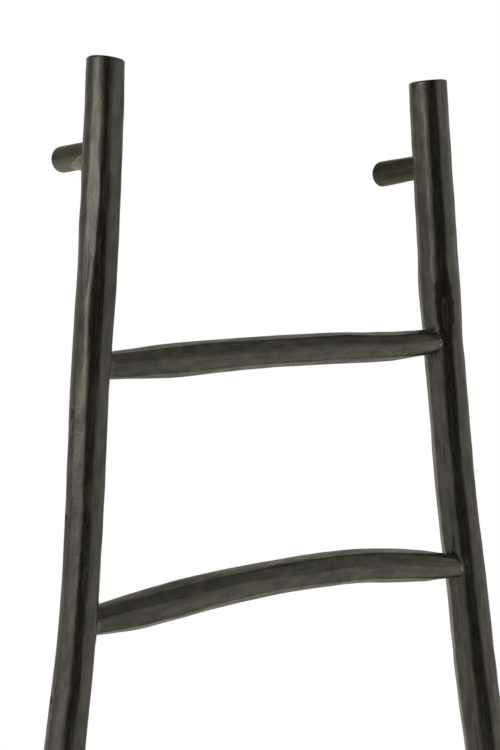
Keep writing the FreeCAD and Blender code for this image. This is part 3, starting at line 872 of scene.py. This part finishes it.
def lockPins():
    # turned profiles in one mesh: radius over length, domed at the back end, along Y through each joint
    turn = turnsRound(pins["around"])
    count = len(turn)
    place = np.array(pins["profile"])[:, None] / pins["length"]
    radius = np.array(pins["width"])[:, None] * pins["dia"] / 2
    points, quads, fans, grain = [], [], [], []
    first = 0
    for name in rungs:
        for side in rails:
            x, y, z = jointPlace(name, side)
            back = y + np.interp(z, *railBacks[side]) + pins["proud"]
            rings = np.stack(np.broadcast_arrays(
                x + radius * np.sin(turn), back - pins["length"] * (1 - place),
                z + radius * np.cos(turn)), -1)
            pin = np.concatenate([[[x, back - pins["length"], z], [x, back, z]], rings.reshape(-1, 3)])
            ringStart = first + 2
            top = ringStart + (len(place) - 1) * count
            quads.append(ringFaces(len(place), count, ringStart))
            fans.append(fanFaces(first, ringStart, count)[:, [0, 2, 1]])
            fans.append(fanFaces(first + 1, top, count))
            points.append(pin)
            grain.append(pin - [x, 0, z])
            first += len(pin)
    points = np.concatenate(points)
    marks = np.zeros_like(points)
    marks[:, 2] = pins["endGrain"]
    vectors = {"grain": np.concatenate(grain)[:, [0, 2, 1]], "marks": marks}
    return meshPiece("lockPins", leanBack(points), np.concatenate(quads), np.concatenate(fans), vectors)


pinPiece = lockPins()
dress(pinPiece, "rung_lock_pins", stainedWood("pinStain", pins["seed"]))
print("pins turned:", len(pinPiece.data.polygons), "faces")


# studio

studio = {
    "eye": (-1.38342, -1.83321, 1.52300),
    "aim": (0.58692, 0.80781, -0.05447),
    "lens": 95.8,
    "sensor": 36,
    "farthest": 50,
    "key": {"azimuth": -177, "distance": 2.1, "size": (1.0, 1.1), "radiance": 2.5, "height": 2.12},
    "warm": (1.0, 0.947, 0.79, 1),
    "white": (1, 1, 1, 1),
    # brightness of the room by azimuth, as shares of a turn from -X: softbox side, dark gap, window side,
    # dim back, and the softbox side again
    "room": ((0.0, 0.85), (0.042, 0.85), (0.10, 0.66), (0.145, 0.36), (0.165, 0.035), (0.235, 0.03),
             (0.262, 0.34), (0.333, 0.52), (0.400, 0.58), (0.444, 0.45), (0.50, 0.27), (0.556, 0.20),
             (0.65, 0.26), (0.722, 0.24), (0.806, 0.26), (0.889, 0.36), (0.958, 0.75), (1.0, 0.85)),
    "roomScale": 1.90,
    # the room's ceiling, floor and three patches: strength, then where each begins and is full
    "over": {"dim": 0.47, "up": (0.10, 0.75)},
    "under": {"light": 0.12, "down": (0.05, 0.5)},
    "lowSide": {"light": 0.55, "down": (-0.02, 0.20), "rise": (0.69, 0.76), "fall": (0.80, 0.88)},
    "crown": {"light": 0.22, "up": (0.15, 0.5), "rise": (0.54, 0.60), "fall": (0.67, 0.73)},
    "keySide": {"dim": 0.3, "down": (0.0, 0.10), "fall": (0.10, 0.14), "rise": (0.92, 0.96)},
}


def aimObject(thing, forward):  # turns a camera or lamp to look that way
    thing.rotation_euler = Vector(forward).to_track_quat("-Z", "Y").to_euler()


camera = bpy.data.objects.new("camera", bpy.data.cameras.new("camera"))
scene.collection.objects.link(camera)
camera.location = studio["eye"]
aimObject(camera, studio["aim"])
camera.data.sensor_fit = "VERTICAL"
camera.data.sensor_height = studio["sensor"]
camera.data.lens = studio["lens"]
camera.data.clip_end = studio["farthest"]
scene.camera = camera

key = studio["key"]
lamp = bpy.data.lights.new("softbox", "AREA")
lamp.shape = "RECTANGLE"
lamp.size, lamp.size_y = key["size"]
lamp.energy = key["radiance"] * np.pi * lamp.size * lamp.size_y
lamp.color = studio["warm"][:3]
softbox = bpy.data.objects.new("softbox", lamp)
scene.collection.objects.link(softbox)
turnTo = np.radians(key["azimuth"])
softbox.location = (key["distance"] * np.cos(turnTo), key["distance"] * np.sin(turnTo), key["height"])
aimObject(softbox, (-np.cos(turnTo), -np.sin(turnTo), 0))
softbox.visible_camera = False

# the world is white to the camera and through glass; light and reflections come from a room by direction
world = bpy.data.worlds.new("studio")
scene.world = world
world.use_nodes = True
start = Wire(world.node_tree)
dx, dy, dz = start.node("ShaderNodeTexCoord").parts()
azimuth = dx.maths("ARCTAN2", dy, dx) / fullTurn + 0.5
down = 0 - dz


def roomPatch(patch):  # 1 inside the patch's stretch of azimuth, fading out at both sides
    return azimuth.between(*patch["rise"]) * (1 - azimuth.between(*patch["fall"]))


over, under, lowSide, crown, keySide = (studio[part] for part in (
    "over", "under", "lowSide", "crown", "keySide"))
glow = azimuth.node("ShaderNodeValToRGB", {"stops": studio["room"]}, {0: azimuth}) * studio["roomScale"]
glow = glow * (1 - dz.between(*over["up"]) * over["dim"]) + down.between(*under["down"]) * under["light"]
glow = glow + down.between(*lowSide["down"]) * roomPatch(lowSide) * lowSide["light"]
glow = glow + dz.between(*crown["up"]) * roomPatch(crown) * crown["light"]
byKey = 1 - azimuth.between(*keySide["fall"]) + azimuth.between(*keySide["rise"])
glow = glow * (1 - down.between(*keySide["down"]) * byKey * keySide["dim"])
isCamera = start.node("ShaderNodeLightPath", output="Is Camera Ray")
direct = isCamera + isCamera.beside("Is Transmission Ray")
seen = direct.node("ShaderNodeClamp", {}, {"Value": direct})
start.feed(world.node_tree.nodes["Background"], {
    "Color": seen.blend(studio["warm"], studio["white"]), "Strength": glow * (1 - seen) + seen})

floorSheet = {
    "radius": 2.2,
    "around": 96,
    "rings": 24,
    "innermost": 0.05,  # share of the radius
    "level": -0.0004,
    "colour": (0.82, 0.84, 0.88, 1),
    "rough": 0.8,
    "fade": (0.6, 1.6),  # the sheet turns clear between these distances
    "glow": (0.30, 0.30, 0.30, 1),  # for the camera and for reflections
    "dark": (0, 0, 0, 1),
}


def paleFloor():
    # a round sheet on the floor: rings of points about the origin, out to the radius
    turn = turnsRound(floorSheet["around"])
    count = len(turn)
    reach = np.linspace(floorSheet["innermost"], 1, floorSheet["rings"])[:, None] * floorSheet["radius"]
    level = floorSheet["level"]
    rings = np.stack(np.broadcast_arrays(reach * np.cos(turn), reach * np.sin(turn), level), -1)
    points = np.concatenate([[[0, 0, level]], rings.reshape(-1, 3)])
    quads = ringFaces(len(reach), count, 1)[:, [0, 3, 2, 1]]  # turned over to face up
    return meshPiece("paleFloor", points, quads, fanFaces(0, 1, count), {})


floor = paleFloor()
floorPaint = bpy.data.materials.new("palePaper")
floorPaint.use_nodes = True
start = Wire(floorPaint.node_tree)
fx, fy = start.node("ShaderNodeTexCoord", output="Object").parts()[:2]
square = fx * fx + fy * fy
away = square.maths("SQRT", square)
isCamera = start.node("ShaderNodeLightPath", output="Is Camera Ray")
inView = isCamera + isCamera.beside("Is Glossy Ray")
start.feed(floorPaint.node_tree.nodes["Principled BSDF"], {
    "Base Color": floorSheet["colour"], "Roughness": floorSheet["rough"],
    "Alpha": 1 - away.between(*floorSheet["fade"]),
    "Emission Color": inView.blend(floorSheet["dark"], floorSheet["glow"]), "Emission Strength": 1})
floor.data.materials.append(floorPaint)

scene.view_settings.view_transform = "Standard"
print("studio lit")
